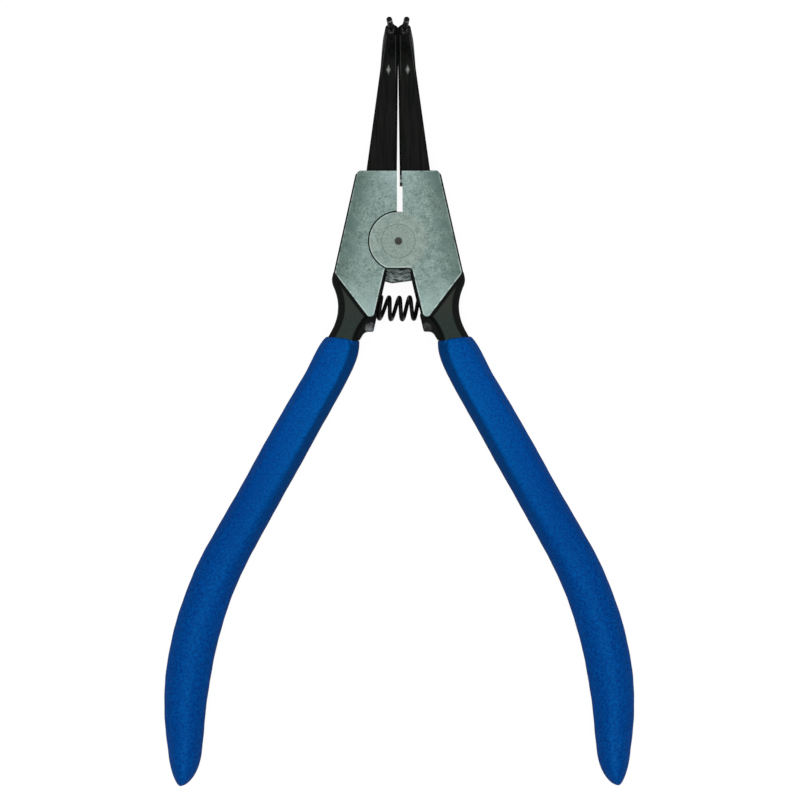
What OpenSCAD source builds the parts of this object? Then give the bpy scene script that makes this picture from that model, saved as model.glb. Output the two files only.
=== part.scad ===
// Pliers for external retaining rings, with tips bent towards the front.
// X runs to the right, Y from the pivot to the noses, Z from the rear face to the front face.
// The origin lies on the pivot axis, in the ground rear face that the tool rests on.

/* [Head] */
// Thickness of the head between its two ground faces
head_t = 10; // [9:0.5:12]
// Distance from the pivot to the top edge of the ground face
head_top = 16.1; // [15:0.1:19]
// Width of the ground face at its top edge
head_top_w = 18.6; // [17.6:0.2:21]
// Width of the ground face at its widest, below the pivot
head_w = 29.1; // [28.2:0.1:31]
// Distance from the pivot down to the widest point
head_wide_y = 7.3; // [6.5:0.1:8]
// Half width of the window between the two flanks, at its top
window_w = 3.05; // [2.8:0.05:3.3]
// Distance from the pivot down to the top of the window
window_y = 6.1; // [5.7:0.1:6.3]
// Sideways distance from the pivot axis to the lower point of the ground face, before it is rounded
head_foot_x = 5.97; // [5.8:0.05:6.4]
// Distance from the pivot down to the lower point, before it is rounded
head_foot_y = 18.55; // [18:0.05:19]
// Radius at the corners of the ground face
head_corner_r = 1; // [0.8:0.1:1.3]
// Height of the ground faces above the forged surface
ground_step = 1; // [0.7:0.1:1.3]
// Bevel on the edge of the ground faces
ground_bevel = 0.2; // [0.1:0.05:0.3]
// Width of the forged ledge that shows around the ground faces
ledge_w = 0.6; // [0.4:0.05:0.7]
// Width of the bevel on the forged ledge
ledge_bevel = 0.3; // [0.2:0.05:0.45]

/* [Lap joint] */
// Radius of the lap disc on the front half of the thickness
front_disc_r = 6.7; // [6.5:0.1:7]
// Radius of the lap disc on the rear half of the thickness
rear_disc_r = 9.3; // [9:0.1:9.5]
// Distance from the pivot to the flat at the foot of the rear disc
rear_flat = 8.93; // [8.7:0.05:9.1]
// Tilt of that flat
rear_flat_tilt = 7.2; // [4:0.2:9]
// Half width of the slot between the two ground faces
slot_w = 0.45; // [0.35:0.05:0.6]
// Half width of the relief in the slot of the right half
relief_w = 0.97; // [0.8:0.01:1.2]
// Distance from the pivot to the top of that relief
relief_y = 13.3; // [12:0.1:14]
// Radius of the rivet's shank
rivet_r = 3; // [2.6:0.1:3.2]
// Radius of the rivet's countersunk heads
rivet_head_r = 3.9; // [3.6:0.1:4.2]
// Depth of the countersinks
rivet_head_t = 0.9; // [0.7:0.1:1.2]
// Radius of the centre mark in the front end of the rivet
mark_r = 0.9; // [0.6:0.1:1.2]
// Depth of the centre mark
mark_t = 0.5; // [0.3:0.1:0.7]

/* [Noses] */
// Distance from the pivot to the start of the bend
nose_len = 39.1; // [36:0.1:44]
// Distance from the tool's middle to the outer side of the nose, where it leaves the head
nose_root_w = 7.3; // [6.6:0.1:8]
// The same distance at the start of the bend
nose_bend_w = 4.15; // [4:0.05:4.6]
// The same distance at the end of the nose
nose_end_w = 2.85; // [2.7:0.05:3.2]
// Thickness of the nose where it leaves the head
nose_root_t = 7.6; // [6.8:0.1:7.9]
// Thickness at the start of the bend
nose_bend_t = 4.5; // [4:0.1:5]
// Thickness at the end of the nose
nose_end_t = 2.6; // [2.4:0.1:3]
// Angle of the bend
bend_angle = 70; // [50:1:85]
// Radius on the inside of the bend
bend_r = 4.5; // [3.5:0.1:6]
// Length of the straight end after the bend
nose_end_len = 5.5; // [5:0.1:8]
// Width of the bevel on the inner edges of the nose
nose_in_bevel = 0.55; // [0.4:0.05:0.65]
// Width of the bevel on the outer edges of the nose
nose_out_bevel = 0.35; // [0.2:0.05:0.5]
// Height of the taper between the nose and the tip
taper_h = 2.1; // [1.6:0.1:2.6]
// Width of the seat that the taper leaves around the foot of the tip
seat_w = 0.15; // [0.1:0.05:0.3]

/* [Tips] */
// Radius of the part of the tip that enters the ring
tip_r = 0.65; // [0.6:0.05:0.9]
// Length of the tip outside the nose
tip_len = 3.2; // [2.6:0.1:5]
// Angle by which each tip leans outward
tip_splay = 6; // [3:0.5:8]
// Radius of the shank inside the nose
shank_r = 0.45; // [0.4:0.05:0.5]
// Length of the shank inside the nose
shank_len = 4; // [3:0.1:4.5]
// Bevel on the free end of the tip
tip_bevel = 0.15; // [0.1:0.05:0.25]

/* [Necks] */
// Curvature of the hollow between head and handle
waist_curve = 0.05; // [0.04:0.002:0.06]
// Distance from the pivot down to the lower end of that hollow
waist_end = 20.5; // [19.5:0.1:21]
// Distance from the tool's middle to the shoulder above the hollow
shoulder_w = 15.3; // [14.9:0.05:15.5]
// Width of the bevel on the outer side of the neck
neck_out_bevel = 1.7; // [1.2:0.1:2]
// Width of the bevel on the inner side of the neck
neck_in_bevel = 1.3; // [1:0.1:1.6]
// Depth of the bevels of the neck and the tang
neck_bevel_t = 1.7; // [1.2:0.1:2]
// Thickness of the block that holds the spring pocket
block_t = 5.8; // [5.2:0.1:6.2]
// Distance from the pivot down to the foot of that block
block_y = 20.5; // [20.1:0.1:21]
// Width of the foot of that block
block_w = 2; // [1.6:0.1:2.4]

/* [Handles] */
// Angle of the straight part of the handle from the tool's middle line
handle_angle = 29.2; // [26:0.2:31]
// Distance from the tool's middle to the handle's middle, where the handle has become parallel to it
handle_x = 49.3; // [46:0.1:54]
// Distance from the pivot down to that place
handle_y = 110.9; // [108:0.1:116]
// Radius of the curve at the lower part of the handle
handle_r = 84; // [76:1:92]
// Thickness of the tang at its end
tang_end_t = 6.4; // [5.5:0.1:7]
// Distance from the pivot down to the end of the tang
tang_end = 118; // [112:0.5:119.5]

/* [Grips] */
// Distance from the pivot down to the middle of the grip's mouth
mouth_y = 22.9; // [22.6:0.1:23.6]
// Slope of the line that the dipping left at the mouth
mouth_slope = 0.16; // [0:0.01:0.2]
// Length over which the lip at the mouth is rounded
lip_len = 3.4; // [2:0.2:4]
// Distance from the pivot down to the end of the grip
grip_end = 124.9; // [123.5:0.1:128]
// Thickness of the grip over the flat side of the handle
grip_t = 10; // [9.6:0.1:10.5]
// Width of the straight part of the grip
grip_w = 9.75; // [9.4:0.05:10.4]
// Width of the grip at the palm
palm_w = 10.65; // [10.2:0.05:11.2]
// Distance from the pivot down to the widest part of the palm
palm_y = 93; // [88:0.5:98]
// Width that the grip loses between the palm and its end
end_taper = 4.75; // [3.5:0.25:5.5]
// Thickness of the soft coat at the sides of the tang
coat_w = 1; // [0.8:0.05:1.2]
// Width that the handle loses on its inner side at the mouth
mouth_in = 2.18; // [1.8:0.02:2.4]
// Length over which the handle regains that width
mouth_in_len = 16; // [10:0.5:20]
// Length of the rounded end
end_round = 5.4; // [4:0.2:7]
// Squareness of the section at the mouth, where 2 is an ellipse
mouth_square = 3.4; // [3:0.1:4.5]
// Squareness of the section at the palm
palm_square = 2.5; // [2.3:0.1:3]

/* [Return spring] */
// Diameter of the spring's wire
wire_d = 0.8; // [0.7:0.05:0.9]
// Mean diameter of the coils
coil_d = 5.1; // [4.7:0.1:5.2]
// Distance along the wire's axis from one open coil to the next
coil_pitch = 2.5; // [2.2:0.05:2.7]
// Turns at each end that lie closed
closed_turns = 0.75; // [0.5:0.25:1]
// Angle by which the coils lean against the spring's own axis
coil_lean = 4; // [0:1:8]
// Length of the spring between the bottoms of its pockets
spring_len = 18; // [17:0.2:18.6]
// Distance from the pivot down to the middle of the spring
spring_y = 15.4; // [15:0.1:15.8]
// Radius of the bow in which the spring lies
spring_bow = 45; // [40:1:70]

/* [Fits] */
// Gap between the two noses on each side of the middle plane
nose_gap = 0.05; // [0.03:0.01:0.1]
// Gap between the two lap faces
lap_gap = 0.04; // [0.02:0.01:0.08]
// Gap around the front lap disc
front_disc_gap = 0.25; // [0.15:0.05:0.35]
// Gap around the rear lap disc
rear_disc_gap = 0.2; // [0.15:0.05:0.3]
// Running clearance of the rivet in the right half
rivet_run = 0.04; // [0.02:0.01:0.08]
// Clearance of the rivet in the left half, where it is held
rivet_hold = 0.01; // [0.01:0.005:0.02]
// Clearance of the tip's shank in the nose
tip_hold = 0.01; // [0.01:0.005:0.02]
// Clearance between the tang and its grip
grip_hold = 0.03; // [0.02:0.01:0.06]
// Clearance of the spring in its pocket
pocket_run = 0.2; // [0.15:0.05:0.3]

/* [Hidden] */

mid_z = head_t / 2;
body_t = head_t - 2 * ground_step;
eps = 0.01;
far = 60;
cyl_fn = 96;
arc_steps = 6;

// Vectors, outlines and lofts

function unit(v) = v / norm(v);

function mix(a, b, t) = a + (b - a) * t;

function ease(t) = let (u = min(1, max(0, t))) u * u * (3 - 2 * u);

// The outward normal of the edge from a to b, on an outline that runs counter-clockwise
function outward(a, b) = unit([b[1] - a[1], a[0] - b[0]]);

// Each corner of the outline moves to where its two edges meet after each is pushed out by its own distance
function pushed(pts, d) = [
    for (i = [0:len(pts) - 1])
        let (
            n = len(pts),
            h = (i + n - 1) % n,
            e = outward(pts[h], pts[i]),
            f = outward(pts[i], pts[(i + 1) % n]),
            sine = e[0] * f[1] - e[1] * f[0]
        )
        pts[i] + [d[h] * f[1] - d[i] * e[1], d[i] * e[0] - d[h] * f[0]] / sine
];

// The whole outline pulled in by one distance
function inset(pts, d) = [
    for (i = [0:len(pts) - 1])
        let (
            n = len(pts),
            e = outward(pts[(i + n - 1) % n], pts[i]),
            f = outward(pts[i], pts[(i + 1) % n])
        )
        pts[i] - (e + f) * d / (1 + e * f)
];

// The arc that rounds corner b, from the side towards a to the side towards c
function corner(a, b, c, r) =
    r <= 0 ? [b] :
    let (
        u = unit(a - b),
        v = unit(c - b),
        half = acos(u * v) / 2,
        centre = b + unit(u + v) * r / sin(half),
        p = b + u * r / tan(half) - centre,
        q = b + v * r / tan(half) - centre,
        start = atan2(p[1], p[0]),
        turn = (atan2(q[1], q[0]) - start + 540) % 360 - 180
    )
    [for (k = [0:arc_steps]) let (w = start + turn * k / arc_steps) centre + r * [cos(w), sin(w)]];

function rounded(pts, radii) = [
    for (i = [0:len(pts) - 1])
        let (n = len(pts))
        each corner(pts[(i + n - 1) % n], pts[i], pts[(i + 1) % n], radii[i])
];

function at_z(pts, z) = [for (p = pts) [p[0], p[1], z]];

function middle(pts) = [for (p = pts) 1] * pts / len(pts);

// A solid through a row of closed rings that all have the same number of points.
// Each end is a fan of triangles about a point that sees the whole ring.
module loft(rings, start_heart, end_heart) {
    n = len(rings[0]);
    last = (len(rings) - 1) * n;
    hearts = [
        is_undef(start_heart) ? middle(rings[0]) : start_heart,
        is_undef(end_heart) ? middle(rings[len(rings) - 1]) : end_heart
    ];
    sides = [
        for (i = [0:len(rings) - 2], j = [0:n - 1])
            let (a = i * n + j, b = i * n + (j + 1) % n)
            each [[a, a + n, b + n], [a, b + n, b]]
    ];
    caps = [
        for (j = [0:n - 1])
            let (k = (j + 1) % n)
            each [[j, k, last + n], [last + k, last + j, last + n + 1]]
    ];
    polyhedron([for (ring = concat(rings, [hearts])) each ring], concat(sides, caps), convexity = 8);
}

// A flat plate about the middle plane with bevelled edges, and the point that its faces fan out from
module plate(outline, thick, bevel, heart) {
    low = mid_z - thick / 2;
    high = mid_z + thick / 2;
    face = inset(outline, bevel);
    loft(
        [at_z(face, low), at_z(outline, low + bevel), at_z(outline, high - bevel), at_z(face, high)],
        [heart[0], heart[1], low],
        [heart[0], heart[1], high]
    );
}

// Head: the outline of the ground face, then the same with its three free edges pushed out

head_pts = [
    [0, -window_y],
    [window_w, -window_y],
    [head_foot_x, -head_foot_y],
    [head_w / 2, -head_wide_y],
    [head_top_w / 2, head_top],
    [0, head_top]
];

function head_outline(out) = rounded(
    pushed(head_pts, [-out, out, out, out, -out, -out]),
    [0, head_corner_r, head_corner_r + out, head_corner_r + out, head_corner_r, 0]
);

head_heart = [head_w / 4, 0];

flank_dir = unit(head_pts[2] - head_pts[1]);
flank_out = [flank_dir[1], -flank_dir[0]];

// A point on the flank's outer wall at a given height
function flank_x(y) =
    let (p = head_pts[1] + flank_out * ledge_w)
    p[0] + (y - p[1]) * flank_dir[0] / flank_dir[1];

// The head's outer side wall at a given height
function side_x(y) = mix(head_w, head_top_w, (y + head_wide_y) / (head_top + head_wide_y)) / 2 + ledge_w;

// Handle: every section is taken square to the tool's middle line, at one distance y below the pivot

function handle_turn(y) = min(handle_angle, max(0, asin(min(1, max(-1, (y + handle_y) / handle_r)))));

handle_bend_y = -handle_y + handle_r * sin(handle_angle);
handle_bend_x = handle_x - handle_r * (1 - cos(handle_angle));

function handle_mid(y) =
    y > handle_bend_y ? handle_bend_x - (y - handle_bend_y) * tan(handle_angle)
    : handle_x - handle_r * (1 - cos(handle_turn(y)));

// Where the grip starts to swell towards the palm
swell_lead = 14;
swell_y = handle_bend_y + swell_lead;

function grip_width(y) =
    y > -palm_y ? mix(grip_w, palm_w, ease((swell_y - y) / (palm_y + swell_y)))
    : palm_w - end_taper * pow((y + palm_y) / (grip_end - palm_y), 2);

// What the handle has lost on its inner side near the mouth
function inner_loss(y) = mouth_in * pow(1 - min(1, max(0, (-mouth_y - y) / mouth_in_len)), 3);

function grip_out(y, deep) = handle_mid(y) + (grip_width(y) / 2 - deep) / cos(handle_turn(y));

function grip_in(y, deep) = handle_mid(y) - (grip_width(y) / 2 - deep) / cos(handle_turn(y)) + inner_loss(y);

// Neck: the handle's outer side runs on upwards with a hollow, and ends under the shoulder

function soft_min(a, b, r) = (a + b - sqrt(pow(a - b, 2) + r * r)) / 2;

waist_y = tan(handle_angle) / waist_curve / 2 - waist_end;

// How far the shoulder stays inside the head's side wall, and how softly the hollow runs into it
shoulder_margin = 0.1;
shoulder_blend = 0.3;

function neck_out(y) =
    let (
        hollow = grip_out(y, coat_w) + waist_curve * pow(max(0, y + waist_end), 2),
        shoulder = min(shoulder_w, side_x(y) - shoulder_margin)
    )
    y < waist_y ? hollow : soft_min(hollow, shoulder, shoulder_blend);

// Above the handle the neck's inner side stays inside the flank
neck_margin = 0.2;
neck_in_min = (head_foot_x + flank_x(-head_foot_y)) / 2 + neck_margin;

function neck_in(y) = max(neck_in_min, grip_in(min(y, -mouth_y), coat_w)
    - max(0, y + mouth_y) * tan(handle_angle));

function arm_t(y) = mix(body_t, tang_end_t, ease((-mouth_y - y) / (tang_end - mouth_y)));

// The bevelled section of the neck and tang, from inner to outer side, grown by a clearance
function arm_ring(y, grow) =
    let (
        i = neck_in(y) - grow,
        o = neck_out(y) + grow,
        h = arm_t(y) / 2 + grow,
        d = h - neck_bevel_t,
        bi = neck_in_bevel,
        bo = neck_out_bevel
    )
    [for (p = [
        [i + bi, -h], [o - bo, -h], [o, -d], [o, d], [o - bo, h], [i + bi, h], [i, d], [i, -d]
    ]) [p[0], y, mid_z + p[1]]];

// The neck starts inside the head plate, just above its widest point
neck_lap = 0.3;
neck_top_y = -head_wide_y + neck_lap;
neck_steps = 16;
straight_steps = 6;
curve_steps = 12;

neck_ys = [for (k = [0:neck_steps - 1]) mix(neck_top_y, -mouth_y, k / neck_steps)];
mouth_ys = [for (k = [0:straight_steps - 1]) mix(-mouth_y, -mouth_y - mouth_in_len, k / straight_steps)];
curve_ys = [for (k = [0:curve_steps]) mix(handle_bend_y, -tang_end, k / curve_steps)];
tang_ys = concat(mouth_ys, [-mouth_y - mouth_in_len], curve_ys);

// Nose: a tapered bar carried up along its length and round the bend

nose_mid_r = bend_r + nose_bend_t / 2;
bend_len = nose_mid_r * bend_angle * PI / 180;
nose_end_u = nose_len + bend_len + nose_end_len;

function nose_turn(u) = min(bend_angle, max(0, (u - nose_len) / bend_len * bend_angle));

// The middle of the bar, as its height along Y and Z, at the length u along the nose
function nose_mid(u) =
    let (a = nose_turn(u), rest = max(0, u - nose_len - bend_len))
    [
        min(u, nose_len) + nose_mid_r * sin(a) + rest * cos(bend_angle),
        mid_z + nose_mid_r * (1 - cos(a)) + rest * sin(bend_angle)
    ];

function nose_out(u) =
    u < nose_len ? mix(nose_root_w, nose_bend_w, (u - head_top) / (nose_len - head_top))
    : mix(nose_bend_w, nose_end_w, (u - nose_len) / (nose_end_u - nose_len));

function nose_in(u) =
    max(nose_gap, mix(slot_w, nose_gap, (u - head_top) / (nose_len - head_top)));

function nose_t(u) =
    u < nose_len ? mix(nose_root_t, nose_bend_t, (u - head_top) / (nose_len - head_top))
    : mix(nose_bend_t, nose_end_t, (u - nose_len) / (nose_end_u - nose_len));

function nose_ring(u) =
    let (
        m = nose_mid(u),
        a = nose_turn(u),
        h = nose_t(u) / 2,
        i = nose_in(u),
        o = nose_out(u),
        bi = nose_in_bevel,
        bo = nose_out_bevel
    )
    [for (p = [
        [bi - h, i], [h - bi, i], [h, i + bi], [h, o - bo], [h - bo, o], [bo - h, o], [-h, o - bo], [-h, i + bi]
    ]) [p[1], m[0] - p[0] * sin(a), m[1] + p[0] * cos(a)]];

nose_foot = 5;
bend_steps = 10;
nose_us = concat(
    [head_top - nose_foot, nose_len],
    [for (k = [1:bend_steps]) nose_len + bend_len * k / bend_steps],
    [nose_end_u]
);

// Tip: its own axis starts in the middle of the nose's end face and leans outward

nose_end_mid = nose_mid(nose_end_u);
tip_base = [(nose_in(nose_end_u) + nose_out(nose_end_u)) / 2, nose_end_mid[0], nose_end_mid[1]];
tip_along = [sin(tip_splay), cos(tip_splay) * cos(bend_angle), cos(tip_splay) * sin(bend_angle)];
tip_across = [cos(tip_splay), -sin(tip_splay) * cos(bend_angle), -sin(tip_splay) * sin(bend_angle)];
tip_front = [0, -sin(bend_angle), cos(bend_angle)];

// The octagon at the top of the nose's taper, on which the tip stands
seat_ring =
    let (a = tip_r + seat_w, b = a * tan(22.5))
    [for (p = [[-b, -a], [b, -a], [a, -b], [a, b], [b, a], [-b, a], [-a, b], [-a, -b]])
        tip_base + taper_h * tip_along + p[0] * tip_front + p[1] * tip_across];

// Moves what stands on the end of the nose to its place
module at_tip() {
    translate(tip_base) rotate([bend_angle - 90, 0, 0]) rotate([0, tip_splay, 0]) children();
}

// Spring: its axis is an arc that sags between the flanks

function bow_at(s) =
    let (a = s / spring_bow * 180 / PI)
    [spring_bow * sin(a), spring_bow * (1 - cos(a)) - spring_y];

wire_travel = spring_len - wire_d;
closed_gap = 0.05;
closed_pitch = wire_d + closed_gap;
open_turns = (wire_travel - 2 * closed_turns * closed_pitch) / coil_pitch;
coil_turns = open_turns + 2 * closed_turns;

// How far along the axis the wire has come after t turns
function coil_s(t) =
    -wire_travel / 2
    + closed_pitch * min(t, closed_turns)
    + coil_pitch * min(open_turns, max(0, t - closed_turns))
    + closed_pitch * max(0, t - closed_turns - open_turns);

first_coil = 20;
coil_steps = 20;
wire_sides = 8;

function wire_mid(t) =
    let (
        s = coil_s(t),
        a = s / spring_bow * 180 / PI,
        w = first_coil + 360 * (t - coil_turns / 2),
        c = bow_at(s),
        up = coil_d / 2 * cos(w),
        lean = a - coil_lean
    )
    [c[0] - up * sin(lean), c[1] + up * cos(lean), mid_z + coil_d / 2 * sin(w)];

function wire_ring(t) =
    let (
        dt = 0.01,
        m = wire_mid(t),
        along = unit(wire_mid(t + dt) - wire_mid(t - dt)),
        c = bow_at(coil_s(t)),
        e = unit(m - [c[0], c[1], mid_z]),
        f = cross(along, e)
    )
    [for (k = [0:wire_sides - 1]) let (w = 360 * k / wire_sides) m + wire_d / 2 * (cos(w) * e + sin(w) * f)];

// Pocket: a straight hole along the bow's tangent at the middle of the spring's outer part
pocket_r = coil_d / 2 + wire_d / 2 + pocket_run;
pocket_share = 0.75;
pocket_over = 0.05;
pocket_mid_s = spring_len / 2 * pocket_share;
pocket_turn = pocket_mid_s / spring_bow * 180 / PI;

// The right-hand forging before it is machined for the lap joint

module nose_blank() {
    loft([each [for (u = nose_us) nose_ring(u)], seat_ring]);
}

module arm_blank() {
    loft([for (y = concat(neck_ys, tang_ys)) arm_ring(y, 0)]);
}

// The block starts below the window and its foot runs out beside the neck's inner edge
block_top = -window_y - 1;
block_low = -mouth_y - 0.3;
block_edge = 1.15;
block_root = 2.6;
block_bevel = 0.4;
block_radii = [0, block_bevel + 0.1, 1.6, 0, 0, 0];

// The low block beside the neck, in whose flank the spring's pocket is drilled
module pocket_block() {
    foot_x = flank_x(-block_y);
    edge_x = neck_in(-mouth_y) - block_edge;
    pts = [
        [flank_x(block_top), block_top],
        [foot_x, -block_y],
        [foot_x + block_w, -block_y],
        [edge_x, block_low],
        [edge_x + block_root, block_low],
        [foot_x + block_w, block_top]
    ];
    plate(rounded(pts, block_radii), block_t, block_bevel, [foot_x + block_w, -spring_y]);
}

module blank() {
    difference() {
        union() {
            plate(head_outline(0), head_t, ground_bevel, head_heart);
            plate(head_outline(ledge_w / 2), body_t, ledge_bevel, head_heart);
            nose_blank();
            arm_blank();
            pocket_block();
        }
        slot_cut(slot_w, head_top + eps);
        pocket_cut();
        tip_hole();
    }
}

// Everything between the middle plane and the slot's wall, down to inside the lap discs
module slot_cut(half_w, top) {
    translate([half_w - far, front_disc_r / 2, -eps]) cube([far, top - front_disc_r / 2, head_t + 2 * eps]);
}

module pocket_cut() {
    p = bow_at(pocket_mid_s);
    translate([p[0], p[1], mid_z]) rotate([0, 90, pocket_turn])
        translate([0, 0, -pocket_mid_s])
            cylinder(h = spring_len / 2 + pocket_over, r = pocket_r, $fn = cyl_fn);
}

module tip_hole() {
    at_tip() translate([0, 0, -shank_len - tip_hold])
        cylinder(h = shank_len + 2 * taper_h, r = shank_r + tip_hold, $fn = cyl_fn);
}

// Lap joint

module disc(r, z0, z1) {
    translate([0, 0, z0]) cylinder(h = z1 - z0, r = r, $fn = cyl_fn);
}

// The rivet's hole through the whole head, with its two countersinks, widened by a clearance
module rivet_shape(grow) {
    rotate_extrude($fn = cyl_fn) polygon([
        [0, 0],
        [rivet_head_r + grow, 0],
        [rivet_r + grow, rivet_head_t],
        [rivet_r + grow, head_t - rivet_head_t],
        [rivet_head_r + grow, head_t],
        [0, head_t]
    ]);
}

lap_z_low = mid_z - lap_gap / 2;
lap_z_high = mid_z + lap_gap / 2;

module left_half() {
    color("#2b2e2c") difference() {
        union() {
            difference() {
                mirror([1, 0, 0]) blank();
                disc(front_disc_r + front_disc_gap, lap_z_low, head_t + 1);
            }
            difference() {
                disc(rear_disc_r, 0, lap_z_low);
                rotate([0, 0, rear_flat_tilt]) translate([-far, -rear_flat - far, -1]) cube([2 * far, far, head_t]);
                translate([-slot_w, front_disc_r, -1]) cube([slot_w + relief_w, far, head_t]);
            }
        }
        rivet_shape(rivet_hold);
    }
}

module right_half() {
    color("#2b2e2c") difference() {
        union() {
            difference() {
                blank();
                slot_cut(relief_w, relief_y);
                disc(rear_disc_r + rear_disc_gap, -1, lap_z_high);
            }
            difference() {
                disc(front_disc_r, lap_z_high, head_t);
                translate([-far, -window_y - far, -1]) cube([2 * far, far, head_t + 2]);
            }
        }
        rivet_shape(rivet_run);
    }
}

module pivot_rivet() {
    color("#9aa5a0") difference() {
        rivet_shape(0);
        translate([0, 0, head_t - mark_t]) cylinder(h = mark_t + eps, r1 = mark_r / 3, r2 = mark_r, $fn = cyl_fn);
    }
}

module return_spring() {
    steps = round(coil_turns * coil_steps);
    color("#161818") loft([for (k = [0:steps]) wire_ring(coil_turns * k / steps)]);
}

// A stepped pin that stands on the end of the nose
module tip() {
    color("#3a3d3c") at_tip() {
        translate([0, 0, -shank_len]) cylinder(h = shank_len + taper_h + 2 * eps, r = shank_r, $fn = cyl_fn);
        translate([0, 0, taper_h + eps]) cylinder(h = tip_len - tip_bevel, r = tip_r, $fn = cyl_fn);
        translate([0, 0, taper_h + eps + tip_len - tip_bevel])
            cylinder(h = tip_bevel, r1 = tip_r, r2 = tip_r - tip_bevel, $fn = cyl_fn);
    }
}

module right_tip() {
    tip();
}

module left_tip() {
    mirror([1, 0, 0]) tip();
}

// Grip: a rounded square section that swells at the palm and closes at the end

grip_points = 24;
lip_steps = 4;
slant_steps = 4;
palm_steps = 16;
end_steps = 7;
// Share of the coat's thickness at the very edge of the mouth
lip_start = 0.15;
// Length over which the mouth's slant dies out
slant_len = 8;
// Share of the thickness that is left at the grip's end, before and after its rounding
end_thin = 0.86;
end_flat = 0.14;
// Last ring of the rounded end, as an angle of its quarter circle
end_arc = 88;
// How far the grip's end leans outward
end_shift = 0.6;
// How far the tang's cavity runs out past the mouth
cavity_over = 3;
// Heights of the cavity's rings, from outside the mouth to just past the end of the tang
cavity_ys = concat([-mouth_y + cavity_over], tang_ys, [-tang_end - grip_hold]);

grip_ys = concat(
    [for (k = [0:lip_steps - 1]) -mouth_y - lip_len * (1 - cos(90 * k / lip_steps))],
    [for (k = [0:slant_steps]) -mouth_y - lip_len - slant_len * k / slant_steps],
    [for (k = [0:palm_steps]) mix(swell_y, -grip_end + end_round, k / palm_steps)],
    [for (k = [1:end_steps]) -grip_end + end_round * (1 - sin(end_arc * k / end_steps))]
);

function round_power(c, n) = sign(c) * pow(abs(c), 2 / n);

function grip_ring(y) =
    let (
        lip = lip_start + (1 - lip_start) * sqrt(max(0, 1 - pow(max(0, 1 + (y + mouth_y) / lip_len), 2))),
        close = sqrt(max(0, 1 - pow(max(0, (end_round - grip_end - y) / end_round), 2))),
        inner = grip_in(y, coat_w * (1 - lip)),
        outer = grip_out(y, coat_w * (1 - lip)),
        mid = (inner + outer) / 2 + (1 - close) * end_shift,
        hx = (outer - inner) / 2 * close,
        thick = mix(body_t, grip_t, lip) * mix(1, end_thin, ease((-palm_y - y) / (grip_end - palm_y))),
        hz = thick / 2 * mix(end_flat, 1, close),
        n = mix(mouth_square, palm_square, ease((-mouth_y - y) / (palm_y - mouth_y))),
        slant = mouth_slope * (1 - ease((-mouth_y - y) / slant_len))
    )
    [for (k = [0:grip_points - 1])
        let (
            w = 360 * (k + 0.5) / grip_points,
            dx = hx * round_power(cos(w), n),
            dz = hz * round_power(sin(w), n)
        )
        [mid + dx, y + slant * dx, mid_z + dz]
    ];

module grip() {
    color("#0a5a9e") difference() {
        loft([for (y = grip_ys) grip_ring(y)]);
        loft([for (y = cavity_ys) arm_ring(y, grip_hold)]);
    }
}

module right_grip() {
    grip();
}

module left_grip() {
    mirror([1, 0, 0]) grip();
}

left_half();
right_half();
pivot_rivet();
return_spring();
left_tip();
right_tip();
left_grip();
right_grip();
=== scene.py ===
import bpy
import numpy as np
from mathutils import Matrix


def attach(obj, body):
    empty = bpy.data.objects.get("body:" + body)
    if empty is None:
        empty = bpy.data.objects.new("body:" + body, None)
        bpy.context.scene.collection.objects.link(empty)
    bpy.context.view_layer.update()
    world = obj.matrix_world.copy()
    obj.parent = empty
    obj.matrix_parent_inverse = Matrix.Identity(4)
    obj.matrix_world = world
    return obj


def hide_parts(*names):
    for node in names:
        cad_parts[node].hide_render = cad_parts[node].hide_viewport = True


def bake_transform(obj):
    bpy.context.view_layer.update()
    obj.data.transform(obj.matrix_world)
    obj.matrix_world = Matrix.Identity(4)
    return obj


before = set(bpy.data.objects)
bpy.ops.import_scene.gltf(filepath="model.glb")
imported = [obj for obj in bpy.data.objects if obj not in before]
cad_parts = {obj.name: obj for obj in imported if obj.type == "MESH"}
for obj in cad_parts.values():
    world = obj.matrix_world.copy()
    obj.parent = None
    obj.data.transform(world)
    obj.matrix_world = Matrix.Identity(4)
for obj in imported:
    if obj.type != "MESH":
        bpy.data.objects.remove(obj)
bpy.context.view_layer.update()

# Table, light and camera
# The tool lies on a plain white table under one wide soft lamp, seen from straight above with a slight roll.
# All lengths in this file are in millimetres until a mesh, a lamp or the camera is placed.

MM = 0.001
view_width = 184
view_middle = (0.30, -36.24)
view_roll = -0.0018
camera_height = 560
view_plane = 5
sensor_width = 36
table_size = 4000
table_drop = 0.05
lamp_height = 900
lamp_size = 1600
lamp_power = 10.7
fill_strength = 0.25
paper_colour = (0.7, 0.7, 0.7, 1)
glow_share, glow_strength = 0.88, 1.07


class Wire:
    """The output of a shader node. Arithmetic on it adds Math nodes to the same tree."""

    def __init__(self, tree, node, socket):
        self.tree = tree
        self.node = node
        self.socket = socket

    def out(self, name):
        return Wire(self.tree, self.node, self.node.outputs[name])

    def __add__(self, other):
        return self.tree.math("ADD", self, other)

    def __sub__(self, other):
        return self.tree.math("SUBTRACT", self, other)

    def __rsub__(self, other):
        return self.tree.math("SUBTRACT", other, self)

    def __mul__(self, other):
        return self.tree.math("MULTIPLY", self, other)

    def __truediv__(self, other):
        return self.tree.math("DIVIDE", self, other)

    def __pow__(self, other):
        return self.tree.math("POWER", self, other)

    def __abs__(self):
        return self.tree.math("ABSOLUTE", self)

    __radd__ = __add__
    __rmul__ = __mul__


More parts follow.
